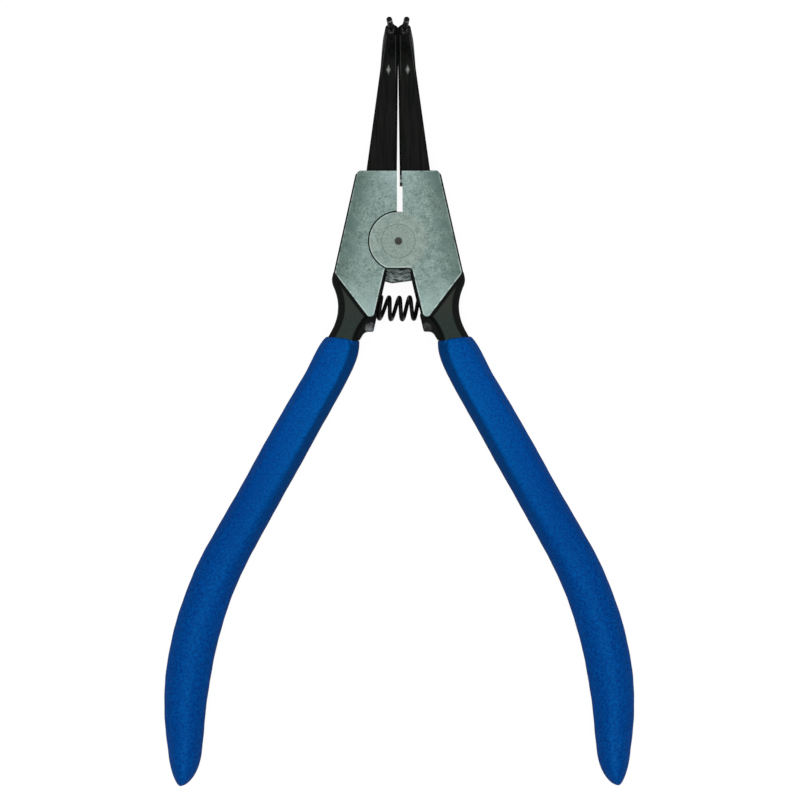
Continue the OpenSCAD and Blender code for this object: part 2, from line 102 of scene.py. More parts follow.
class Tree:
    """A shader tree, written node by node."""

    def __init__(self, owner):
        owner.use_nodes = True
        self.nodes = owner.node_tree.nodes
        self.links = owner.node_tree.links
        self.nodes.clear()

    def add(self, kind, settings=None, sockets=None):
        """One node: its type, then its settings, then the value or the wire of each of its sockets."""
        node = self.nodes.new("ShaderNode" + kind)
        for key, value in (settings or {}).items():
            setattr(node, key, value)
        for key, value in (sockets or {}).items():
            if isinstance(key, int):
                slot = node.inputs[key]
            else:
                slot = next(s for s in node.inputs if s.enabled and s.name == key)
            if isinstance(value, Wire):
                self.links.new(value.socket, slot)
            else:
                slot.default_value = value
        shown = [s for s in node.outputs if s.enabled]
        return Wire(self, node, shown[0] if shown else None)

    def math(self, operation, *values):
        return self.add("Math", {"operation": operation}, dict(enumerate(values)))

    def mix(self, share, first, second):
        """The first colour where share is 0, the second where it is 1."""
        return self.add("Mix", {"data_type": "RGBA"}, {"Factor": share, "A": first, "B": second})

    def rise(self, value, low, high):
        """0 below low, 1 above high, and a smooth step between them."""
        sockets = {"Value": value, "From Min": low, "From Max": high}
        return self.add("MapRange", {"interpolation_type": "SMOOTHSTEP"}, sockets)

    def place(self):
        """The point on the piece, in millimetres, as a vector and its three parts."""
        point = self.add("TexCoord").out("Object")
        point = self.add("VectorMath", {"operation": "SCALE"}, {"Vector": point, "Scale": 1 / MM})
        parts = self.add("SeparateXYZ", sockets={"Vector": point})
        return point, parts.out("X"), parts.out("Y"), parts.out("Z")

    def noise(self, point, grain, detail=3.0, roughness=0.5):
        """Cloudy noise from 0 to 1 with patches of the given size in millimetres."""
        sockets = {"Vector": point, "Scale": 1 / grain, "Detail": detail, "Roughness": roughness}
        return self.add("TexNoise", sockets=sockets)

    def bump(self, height, depth):
        """A normal from a height of 0 to 1 that stands for the given depth in millimetres."""
        return self.add("Bump", sockets={"Height": height, "Distance": depth * MM, "Strength": 1.0})

    def finish(self, sockets):
        """The surface shader with these sockets, joined to the output."""
        surface = self.add("BsdfPrincipled", sockets=sockets)
        self.add("OutputMaterial", sockets={"Surface": surface})


def shade(red, green, blue):
    """A colour given as it shows on a screen, from 0 to 255, as the linear values that a shader takes."""
    level = np.array([red, green, blue]) / 255
    linear = np.where(level <= 0.04045, level / 12.92, ((level + 0.055) / 1.055) ** 2.4)
    return (*linear.tolist(), 1.0)


def new_tree(name):
    """A material with an empty tree."""
    material = bpy.data.materials.new(name)
    return material, Tree(material)


def white_to_the_eye(tree):
    """1 where the camera, or a ray from a gloss or a glass, looks at this, and 0 for other rays."""
    path = tree.add("LightPath")
    seen = path.out("Is Camera Ray") + path.out("Is Glossy Ray") + path.out("Is Transmission Ray")
    return tree.math("MINIMUM", seen, 1.0)


scene = bpy.context.scene
scene.view_settings.view_transform = "Standard"

world = bpy.data.worlds.new("studio")
scene.world = world
sky = Tree(world)
background = sky.add(
    "Background",
    sockets={"Color": (1, 1, 1, 1), "Strength": fill_strength + (1 - fill_strength) * white_to_the_eye(sky)},
)
sky.add("OutputWorld", sockets={"Surface": background})

table_mesh = bpy.data.meshes.new("table")
half = table_size * MM / 2
corners = [(-half, -half), (half, -half), (half, half), (-half, half)]
table_mesh.from_pydata([(x, y, -table_drop * MM) for x, y in corners], [], [(0, 1, 2, 3)])
table = bpy.data.objects.new("table", table_mesh)
scene.collection.objects.link(table)

paper, tree = new_tree("white_paper")
diffuse = tree.add("BsdfDiffuse", sockets={"Color": paper_colour})
glow = tree.add("Emission", sockets={"Color": (1, 1, 1, 1), "Strength": glow_strength})
both = tree.add("MixShader", sockets={0: glow_share * white_to_the_eye(tree), 1: diffuse, 2: glow})
tree.add("OutputMaterial", sockets={"Surface": both})
table_mesh.materials.append(paper)

lamp = bpy.data.lights.new("soft_lamp", "AREA")
lamp.shape = "DISK"
lamp.size = lamp_size * MM
lamp.energy = lamp_power
lamp_object = bpy.data.objects.new("soft_lamp", lamp)
lamp_object.location = (view_middle[0] * MM, view_middle[1] * MM, lamp_height * MM)
scene.collection.objects.link(lamp_object)

camera = bpy.data.cameras.new("camera")
camera.sensor_width = sensor_width
camera.lens = sensor_width * camera_height / view_width
camera_object = bpy.data.objects.new("camera", camera)
camera_object.location = (view_middle[0] * MM, view_middle[1] * MM, (camera_height + view_plane) * MM)
camera_object.rotation_euler = (0, 0, view_roll)
scene.collection.objects.link(camera_object)
scene.camera = camera_object

# The two forged halves
# Each half is one drop forging of chrome vanadium steel, blackened all over. Its head is then ground flat on
# both faces, milled to half its thickness for the lap joint and drilled for the spring and for the tip.

head_t = 10
mid_z = head_t / 2
ground_step = 1
body_t = head_t - 2 * ground_step
ledge_w = 0.6
face_edge, ledge_edge = 0.2, 0.3
slot_w = 0.33
relief_w, relief_y = 0.97, 13.3
step_w, step_t = 0.8, 0.7
window_w, window_y = 3.05, 6.1
head_foot = (5.97, -18.55)
head_wide = (14.55, -7.3)
head_top = (9.3, 16.1)
corner_r = 1
front_disc_r, rear_disc_r = 6.7, 9.3
front_disc_gap, rear_disc_gap = 0.25, 0.2
rear_flat, rear_flat_tilt = 8.93, np.radians(7.2)
lap_gap = 0.04
run_out, hair = 1, 0.01
far = 60


def ease(t):
    """3t^2 - 2t^3 with t held between 0 and 1."""
    t = np.clip(t, 0, 1)
    return t * t * (3 - 2 * t)


def mix(a, b, t):
    return a + (b - a) * t


def unit(v):
    return v / np.linalg.norm(v, axis=-1, keepdims=True)


def outward(points):
    """Each edge's outward normal, for an outline whose corners run counter-clockwise."""
    edge = unit(np.roll(points, -1, 0) - points)
    return np.stack([edge[:, 1], -edge[:, 0]], 1)


def pushed(points, distances):
    """Each corner moves to where its two edges cross after each edge has moved out by its own distance."""
    after, before = outward(points), np.roll(outward(points), 1, 0)
    d, e = np.array(distances, float), np.roll(np.array(distances, float), 1)
    sine = before[:, 0] * after[:, 1] - before[:, 1] * after[:, 0]
    move = np.stack([e * after[:, 1] - d * before[:, 1], d * before[:, 0] - e * after[:, 0]], 1)
    return points + move / sine[:, None]


def rounded(points, radii, steps=10, least=0.02):
    """An arc of the given radius, or of the least one, at each corner: centre + r * direction, with the
    direction swept evenly."""
    to_last, to_next = unit(np.roll(points, 1, 0) - points), unit(np.roll(points, -1, 0) - points)
    half_angle = np.arccos(np.clip((to_last * to_next).sum(1), -1, 1)) / 2
    radii = np.maximum(np.array(radii, float), least)
    centre = points + unit(to_last + to_next) * (radii / np.sin(half_angle))[:, None]
    start = points + to_last * (radii / np.tan(half_angle))[:, None] - centre
    end = points + to_next * (radii / np.tan(half_angle))[:, None] - centre
    sweep = (np.pi - 2 * half_angle)[:, None, None]
    t = np.linspace(0, 1, steps + 1)[None, :, None]
    arc = (np.sin((1 - t) * sweep) * start[:, None] + np.sin(t * sweep) * end[:, None]) / np.sin(sweep)
    return (centre[:, None] + arc).reshape(-1, 2)


def inset(points, distance):
    """The outline with every edge moved in by one distance."""
    after, before = outward(points), np.roll(outward(points), 1, 0)
    return points - (after + before) * distance / (1 + (after * before).sum(1))[:, None]


def mesh_from_rings(name, rings):
    """A skin over rings of equally many points, with a flat face on the first ring and on the last. The
    faces are turned so that their volume about the origin, the sum of a . (b x c) / 6, is positive."""
    count, around = rings.shape[:2]
    points = rings.reshape(-1, 3) * MM
    i, j = np.meshgrid(np.arange(count - 1), np.arange(around), indexing="ij")
    k = (j + 1) % around
    corners = [i * around + j, i * around + k, (i + 1) * around + k, (i + 1) * around + j]
    quads = np.stack(corners, -1).reshape(-1, 4)
    caps = [np.arange(around)[::-1], np.arange(around) + (count - 1) * around]
    fan = [np.stack([np.full(around - 2, c[0]), c[1:-1], c[2:]], 1) for c in caps]
    triangles = np.concatenate([quads[:, [0, 1, 2]], quads[:, [0, 2, 3]], *fan])
    a, b, c = (points[triangles[:, n]] for n in range(3))
    volume = (a * np.cross(b, c)).sum()
    faces = quads.tolist() + [cap.tolist() for cap in caps]
    if volume < 0:
        faces = [face[::-1] for face in faces]
    mesh = bpy.data.meshes.new(name)
    mesh.from_pydata(points.tolist(), [], faces)
    return mesh


def put(name, mesh):
    """An object at the origin that shows the mesh."""
    piece = bpy.data.objects.new(name, mesh)
    scene.collection.objects.link(piece)
    return piece


def plate(outline, low, high, edge, steps=5):
    """A flat plate with quarter rounds along its rims: the outline comes in by e (1 - cos a) as the wall
    rises by e sin a."""
    a = np.linspace(0, np.pi / 2, steps + 1)
    inward, rise = edge * (1 - np.cos(a)), edge * np.sin(a)
    rings = [(i, low + edge - r) for i, r in zip(inward[::-1], rise[::-1])]
    rings += [(i, high - edge + r) for i, r in zip(inward, rise)]
    return np.stack([np.column_stack([inset(outline, i), np.full(len(outline), z)]) for i, z in rings])


def head_outline(out):
    """The ground outline. Its free edges are pushed out, and those at the window, the top and the middle are
    pulled in."""
    (foot_x, foot_y), (wide_x, wide_y), (top_x, top_y) = head_foot, head_wide, head_top
    points = np.array([
        [0, -window_y], [window_w, -window_y], [foot_x, foot_y], [wide_x, wide_y], [top_x, top_y], [0, top_y]
    ])
    radii = [0, corner_r, corner_r + out, corner_r + out, corner_r, 0]
    return rounded(pushed(points, [-out, out, out, out, -out, -out]), radii)


def disc_outline(radius, flat, tilt=0.0, count=160):
    """A circle about the pivot, cut off by a straight line at the distance flat below it, turned by tilt."""
    reach = np.arccos(flat / radius)
    a = np.linspace(-np.pi / 2 + reach, 1.5 * np.pi - reach, count) + tilt
    return radius * np.stack([np.cos(a), np.sin(a)], 1)


def softened(corners, cut, steps=4):
    """Each corner of a section becomes the curve (1-t)^2 A + 2t(1-t) B + t^2 C. B is the corner, and A and C
    lie on its two edges at the distance cut, or just short of half way where the edge is shorter."""
    last, following = np.roll(corners, 1, -2) - corners, np.roll(corners, -1, -2) - corners
    short_of_half = 0.47
    reach = [cut / np.linalg.norm(edge, axis=-1, keepdims=True) for edge in (last, following)]
    reach = [np.minimum(share, short_of_half) for share in reach]
    a, c = corners + last * reach[0], corners + following * reach[1]
    t = np.linspace(0, 1, steps + 1)[:, None]
    curve = (1 - t) ** 2 * a[..., None, :] + 2 * t * (1 - t) * corners[..., None, :] + t**2 * c[..., None, :]
    return curve.reshape(*corners.shape[:-2], -1, 2)


handle_angle = np.radians(29.2)
handle_x, handle_y, handle_r = 49.3, 110.9, 84
bend_y = -handle_y + handle_r * np.sin(handle_angle)
bend_x = handle_x - handle_r * (1 - np.cos(handle_angle))
swell_above = 14
swell_y = bend_y + swell_above
palm_y, grip_end, mouth_y = 93, 124.9, 22.15
grip_w, palm_w, end_taper = 9.75, 10.65, 4.75
mouth_in, mouth_in_len = 2.65, 14
coat_w = 1
waist_curve, waist_end = 0.05, 20.5
shoulder_w, shoulder_inset, shoulder_blend = 15.3, 0.1, 0.3
arm_top, tang_end, tang_end_t = 7, 118, 6.4
tang_bevel_in, tang_bevel_out, tang_round = 1.3, 1.7, 0.55


def handle_turn(y):
    return np.clip(np.arcsin(np.clip((y + handle_y) / handle_r, -1, 1)), 0, handle_angle)


def handle_mid(y):
    """A straight line at the handle's angle above the bend, and a circle's arc below it."""
    straight = bend_x - (y - bend_y) * np.tan(handle_angle)
    return np.where(y > bend_y, straight, handle_x - handle_r * (1 - np.cos(handle_turn(y))))


def grip_width(y):
    """It swells smoothly towards the palm and then loses width with the square of the distance."""
    upper = mix(grip_w, palm_w, ease((swell_y - y) / (palm_y + swell_y)))
    lower = palm_w - end_taper * ((y + palm_y) / (grip_end - palm_y)) ** 2
    return np.where(y > -palm_y, upper, lower)


def grip_out(y, deep):
    return handle_mid(y) + (grip_width(y) / 2 - deep) / np.cos(handle_turn(y))


def grip_in(y, deep):
    loss = mouth_in * (1 - np.clip((-mouth_y - y) / mouth_in_len, 0, 1)) ** 3
    return handle_mid(y) - (grip_width(y) / 2 - deep) / np.cos(handle_turn(y)) + loss


flank_dir = unit(np.array(head_foot) - (window_w, -window_y))
flank_out = np.array([flank_dir[1], -flank_dir[0]])


def flank_x(y):
    """The outer wall of the flank beside the window."""
    start = np.array([window_w, -window_y]) + flank_out * ledge_w
    return start[0] + (y - start[1]) * flank_dir[0] / flank_dir[1]


def neck_out(y):
    """The handle's outer side, with a hollow that grows with the square of the height, up to a rounded
    shoulder. The two meet in the smooth minimum (a + b - sqrt((a - b)^2 + blend^2)) / 2."""
    hollow = grip_out(y, coat_w) + waist_curve * np.maximum(0, y + waist_end) ** 2
    side = mix(head_wide[0], head_top[0], (y - head_wide[1]) / (head_top[1] - head_wide[1])) + ledge_w
    shoulder = np.minimum(shoulder_w, side - shoulder_inset)
    under = (hollow + shoulder - np.sqrt((hollow - shoulder) ** 2 + shoulder_blend**2)) / 2
    return np.where(y < np.tan(handle_angle) / waist_curve / 2 - waist_end, hollow, under)


foot_cover = 0.2
neck_in_min = (head_foot[0] + flank_x(head_foot[1])) / 2 + foot_cover
neck_flare, flare_len = 0.9, 5
neck_slope, neck_curve = 0.28, 0.055


def neck_in(y):
    """The tang's inner side flares until it lies flush with the coat at the mouth. Above the mouth, at the
    height t, it comes in by slope * t + curve * t^2."""
    t = np.maximum(0, y + mouth_y)
    flared = grip_in(np.minimum(y, -mouth_y), coat_w) - neck_flare * ease(1 + (y + mouth_y) / flare_len)
    return np.maximum(neck_in_min, flared - neck_slope * t - neck_curve * t**2)


def arm_rings():
    """The bevelled section of neck and tang at heights y, thinner towards the end, with softened corners."""
    y = np.concatenate([np.linspace(-arm_top, -mouth_y, 70)[:-1], np.linspace(-mouth_y, -tang_end, 120)])
    inner, outer = neck_in(y), neck_out(y)
    h = mix(body_t, tang_end_t, ease((-mouth_y - y) / (tang_end - mouth_y))) / 2
    low_x, high_x, d = inner + tang_bevel_in, outer - tang_bevel_out, h - tang_bevel_out
    x = np.stack([low_x, high_x, outer, outer, high_x, low_x, inner, inner], 1)
    z = np.stack([-h, -h, -d, d, h, h, d, -d], 1)
    section = softened(np.stack([x, z], -1), tang_round)
    height = np.broadcast_to(y[:, None], section.shape[:2])
    return np.stack([section[..., 0], height, mid_z + section[..., 1]], -1)


nose_len = 39.1
bend_angle, bend_r = np.radians(70), 4.5
nose_root = (7.3, 7.6)
nose_bend = (4.15, 4.5)
nose_end = (2.85, 2.6)
nose_gap = 0.0005
gap_end = 41
nose_end_len = 5.5
nose_mid_r = bend_r + nose_bend[1] / 2
bend_len = nose_mid_r * bend_angle
nose_end_u = nose_len + bend_len + nose_end_len
nose_in_bevel, nose_out_bevel, nose_round = 0.55, 0.35, 0.12
nose_root_len = 5
taper_h = 2.1
seat_w = 0.15
tip_r = 0.65
tip_splay = np.radians(6)
shank_r, shank_len, shank_gap = 0.45, 4, 0.01


def nose_middle(u):
    """The bar's middle line: straight up Y, round the bend towards Z, and straight again."""
    a = np.clip((u - nose_len) / bend_len, 0, 1) * bend_angle
    rest = np.maximum(0, u - nose_len - bend_len)
    y = np.minimum(u, nose_len) + nose_mid_r * np.sin(a) + rest * np.cos(bend_angle)
    z = mid_z + nose_mid_r * (1 - np.cos(a)) + rest * np.sin(bend_angle)
    return y, z, a


def along_nose(u, column):
    """A size that runs straight from the root to the bend and straight on to the end."""
    to_bend = mix(nose_root[column], nose_bend[column], (u - head_top[1]) / (nose_len - head_top[1]))
    to_end = mix(nose_bend[column], nose_end[column], (u - nose_len) / (nose_end_u - nose_len))
    return np.where(u < nose_len, to_bend, to_end)


def nose_inner(u):
    """The slot between the noses narrows evenly until it closes in the bend."""
    return np.maximum(nose_gap, mix(slot_w, nose_gap, (u - head_top[1]) / (gap_end - head_top[1])))


end_y, end_z = nose_middle(np.array([nose_end_u]))[:2]
tip_base = np.array([(nose_inner(nose_end_u) + nose_end[0]) / 2, end_y[0], end_z[0]])
tip_along = np.array([
    np.sin(tip_splay), np.cos(tip_splay) * np.cos(bend_angle), np.cos(tip_splay) * np.sin(bend_angle)
])
tip_front = np.array([0, -np.sin(bend_angle), np.cos(bend_angle)])
tip_across = np.cross(tip_front, tip_along)


def nose_rings():
    """The bar's eight-cornered section at lengths u, and one more ring that tapers it to the tip's seat. The
    section stands on the middle line at p to its front and x to its side."""
    u = np.concatenate([[head_top[1] - nose_root_len], np.linspace(head_top[1], nose_len, 24)])
    u = np.concatenate([u, np.linspace(nose_len, nose_len + bend_len, 32)[1:], [nose_end_u]])
    y, z, a = nose_middle(u)
    h, inner, outer = along_nose(u, 1) / 2, nose_inner(u), along_nose(u, 0)
    low_x, high_x = inner + nose_in_bevel, outer - nose_out_bevel
    near, wide = h - nose_in_bevel, h - nose_out_bevel
    p = np.stack([-near, near, h, h, wide, -wide, -h, -h], 1)
    x = np.stack([inner, inner, low_x, high_x, outer, outer, high_x, low_x], 1)
    section = softened(np.stack([p, x], -1), nose_round, 2)
    p, x = section[..., 0], section[..., 1]
    rings = np.stack([x, y[:, None] - p * np.sin(a)[:, None], z[:, None] + p * np.cos(a)[:, None]], -1)
    s = tip_r + seat_w
    t = s * np.tan(np.pi / 8)
    seat = np.array([[-t, -s], [t, -s], [s, -t], [s, t], [t, s], [-t, s], [-s, t], [-s, -t]])
    seat = softened(seat, nose_round, 2)
    seat = tip_base + taper_h * tip_along + seat[:, :1] * tip_front + seat[:, 1:] * tip_across
    return np.concatenate([rings, seat[None]])


block_t, block_y, block_w = 5.8, 20.5, 2
block_rise, block_drop, block_root = 1, 0.3, 2.6
block_foot_r, block_corner_r, block_edge = 0.5, 1.6, 0.4


def block_rings():
    """The low block between neck and flank, whose wall holds the spring's pocket."""
    top, low, foot_x = -window_y - block_rise, -mouth_y - block_drop, flank_x(-block_y)
    edge_x = float(grip_in(-mouth_y, 0))
    points = np.array([
        [flank_x(top), top], [foot_x, -block_y], [foot_x + block_w, -block_y],
        [edge_x, low], [edge_x + block_root, low], [foot_x + block_w, top]
    ])
    outline = rounded(points, [0, block_foot_r, block_corner_r, 0, 0, 0])
    return plate(outline, mid_z - block_t / 2, mid_z + block_t / 2, block_edge)


spring_y, spring_len, spring_bow = 15.2, 18, 45
pocket_r, pocket_share, pocket_gap = 3.15, 0.75, 0.05


def on_bow(a):
    """A point of the spring's bow, (r sin a, r (1 - cos a)), with its lowest point at the spring's place."""
    return spring_bow * np.sin(a), spring_bow * (1 - np.cos(a)) - spring_y


def rod_rings(start, along, length, radius, count=96):
    """A plain round rod from start: r cos a * side + r sin a * other, with both square to its line."""
    along = unit(np.array(along, float))
    off_line = [0.3, 0.2, 1.0]
    side = unit(np.cross(along, off_line))
    other = np.cross(along, side)
    a = np.linspace(0, 2 * np.pi, count, endpoint=False)[:, None]
    circle = radius * (np.cos(a) * side + np.sin(a) * other)
    return np.stack([np.array(start) + circle, np.array(start) + along * length + circle])


def box_rings(low, high):
    """A box between two opposite corners."""
    (x0, y0, z0), (x1, y1, z1) = low, high
    square = np.array([[x0, y0], [x1, y0], [x1, y1], [x0, y1]], float)
    return np.stack([np.column_stack([square, np.full(4, z)]) for z in (z0, z1)])


def turned(profile, count):
    """A profile of radius and height turned about Z: (r cos a, r sin a, z), with a running round."""
    profile = np.array(profile, float)
    a = np.linspace(0, 2 * np.pi, count, endpoint=False)
    r, z = profile[:, :1], profile[:, 1:]
    return np.stack([r * np.cos(a), r * np.sin(a), np.broadcast_to(z, (len(profile), count))], -1)


def machined(name, first, steps):
    """One closed mesh: first, with each further body of rings joined to it or cut out of it in turn."""
    work = put(name + "_work", first)
    tools = []
    for operation, rings in steps:
        tools.append(put(f"{name}_tool_{len(tools)}", mesh_from_rings("tool", rings)))
        cut = work.modifiers.new("cut", "BOOLEAN")
        cut.operation, cut.object, cut.solver = operation, tools[-1], "MANIFOLD"
    bpy.context.view_layer.update()
    result = bpy.data.meshes.new_from_object(work.evaluated_get(bpy.context.evaluated_depsgraph_get()))
    result.name = name
    for used in [work, *tools]:
        bpy.data.objects.remove(used)
    return result


face = plate(head_outline(0), 0, head_t, face_edge)
ledge = plate(head_outline(ledge_w / 2), ground_step, head_t - ground_step, ledge_edge)
over_top, over_face = head_top[1] + hair, head_t + run_out
slot = box_rings((slot_w - far, front_disc_r / 2, -run_out), (slot_w, over_top, over_face))
pocket_s = pocket_share * spring_len / 2
pocket_turn = pocket_s / spring_bow
pocket_dir = np.array([np.cos(pocket_turn), np.sin(pocket_turn), 0])
pocket_mid = np.array([*on_bow(pocket_turn), mid_z])
pocket = rod_rings(pocket_mid - pocket_s * pocket_dir, pocket_dir, spring_len / 2 + pocket_gap, pocket_r)
shank_foot, shank_reach = tip_base - shank_len * tip_along, shank_len + 2 * taper_h
shank_hole = rod_rings(shank_foot, tip_along, shank_reach, shank_r + shank_gap, count=32)
blank = machined("blank", mesh_from_rings("face", face), [
    ("UNION", ledge),
    ("UNION", nose_rings()),
    ("UNION", arm_rings()),
    ("UNION", block_rings()),
    ("DIFFERENCE", slot),
    ("DIFFERENCE", pocket),
    ("DIFFERENCE", shank_hole),
])


def mirrored(mesh, name):
    """The mesh on the other side of the middle plane: x turns to -x and each face runs the other way."""
    points = np.empty(len(mesh.vertices) * 3)
    mesh.vertices.foreach_get("co", points)
    points = points.reshape(-1, 3) * (-1, 1, 1)
    other = bpy.data.meshes.new(name)
    other.from_pydata(points.tolist(), [], [list(f.vertices)[::-1] for f in mesh.polygons])
    return other


lap_low, lap_high = mid_z - lap_gap / 2, mid_z + lap_gap / 2
disc_edge = 0.12
rivet_r, rivet_head_r, rivet_head_t = 3, 3.9, 0.9
rivet_gap = 0.01
hole_r, sink_r = rivet_r + rivet_gap, rivet_head_r + rivet_gap
hole_run_out, hole_cap_r = 0.1, 0.1
rivet_hole = turned([
    [hole_cap_r, -hole_run_out], [sink_r, -hole_run_out], [sink_r, 0], [hole_r, rivet_head_t],
    [hole_r, head_t - rivet_head_t], [sink_r, head_t], [sink_r, head_t + hole_run_out],
    [hole_cap_r, head_t + hole_run_out]
], count=128)

relief = box_rings((relief_w - far, front_disc_r / 2, -run_out), (relief_w, relief_y, over_face))
step = box_rings((relief_w - far, relief_y / 2, head_t - step_t), (step_w, over_top, over_face))
rear_room_r, front_room_r = rear_disc_r + rear_disc_gap, front_disc_r + front_disc_gap
right_mesh = machined("right_forging", blank, [
    ("DIFFERENCE", relief),
    ("DIFFERENCE", step),
    ("DIFFERENCE", rod_rings((0, 0, -run_out), (0, 0, 1), run_out + lap_high, rear_room_r, count=192)),
    ("UNION", plate(disc_outline(front_disc_r, window_y), lap_high, head_t, disc_edge)),
    ("DIFFERENCE", rivet_hole),
])
left_mesh = machined("left_forging", mirrored(blank, "left_blank"), [
    ("DIFFERENCE", rod_rings((0, 0, lap_low), (0, 0, 1), head_t, front_room_r, count=192)),
    ("UNION", plate(disc_outline(rear_disc_r, rear_flat, rear_flat_tilt), 0, lap_low, disc_edge)),
    ("DIFFERENCE", box_rings((-slot_w, front_disc_r, -run_out), (relief_w, 2 * front_disc_r, mid_z))),
    ("DIFFERENCE", rivet_hole),
])

window_blur = 0.1
rim_w, rim_fade = 0.45, 4
warm_low, warm_high = -19, -14
boss_mark, boss_near, boss_far = (6.4, -19.8), 1.0, 1.8
reflection_spot, reflection_size = (2.2, 39.45), (0.7, 1.6)
speck_size, blotch_size, cloud_size, scale_size, cut_size = 0.45, 1.5, 5, 0.6, 0.5
streak_stretch = (2.0, 0.12, 1.0)
ground_skin, lap_skin, lap_reach = (0.1, 0.04), (0.06, 0.1), (-1.2, -0.9)
shadow_w, shadow_foot, tint_foot, tint_half_w = 6.5, 4, 2, (1, 6)
undercut_shadow_reach, lit_flat_height = (0.6, 0.9), (3.3, 3.6)
grain_dark, grain_light = shade(50, 68, 63), shade(138, 153, 148)
patina_dark, patina_light = shade(74, 91, 86), shade(118, 135, 131)
edge_shadow, cloud_shadow = shade(46, 64, 57), shade(88, 108, 106)
lighter_at_foot, middle_highlight, disc_tint = shade(128, 148, 145), shade(136, 152, 152), shade(124, 132, 123)
rim_shine, boss_shine = shade(158, 172, 168), shade(152, 157, 160)
scale_dark, scale_light = shade(5, 7, 6), shade(17, 19, 18)
lit_top_dark, lit_top_light, lit_top_brown = shade(30, 40, 37), shade(50, 60, 57), shade(52, 52, 46)
blued_dark, blued_light = shade(3, 5, 4), shade(20, 21, 19)
bevel_glint, end_highlight_colour, reflection_shine = shade(58, 63, 61), shade(92, 97, 94), shade(146, 150, 147)
milled_dark, milled_light = shade(16, 22, 21), shade(132, 145, 143)


def past_outline(tree, across, y):
    """How far a point lies outside the ground outline: the largest of n . (p - corner) over its edges, where
    n is each edge's outward normal. The window's two edges count only on their own sides of its corner."""
    (top_x, top_y), foot, wide = head_top, head_foot, head_wide
    corners = np.array([(0, -window_y), (window_w, -window_y), foot, wide, (top_x, top_y), (0, top_y)])
    edges = []
    for corner, (nx, ny) in zip(corners[:-1], outward(corners)[:-1]):
        edges.append(float(nx) * across + float(ny) * y - float(corner @ (nx, ny)))
    edges[0] -= far * tree.rise(across, window_w - window_blur, window_w)
    edges[1] -= far * tree.rise(y, -window_y - window_blur, -window_y)
    past = edges[0]
    for edge in edges[1:]:
        past = tree.math("MAXIMUM", past, edge)
    return past


def up_the_tip(across, y, z):
    """The height along the tip's own axis above its base: along . (p - base)."""
    ax, ay, az = tip_along.tolist()
    return across * ax + y * ay + z * az - float(tip_base @ tip_along)


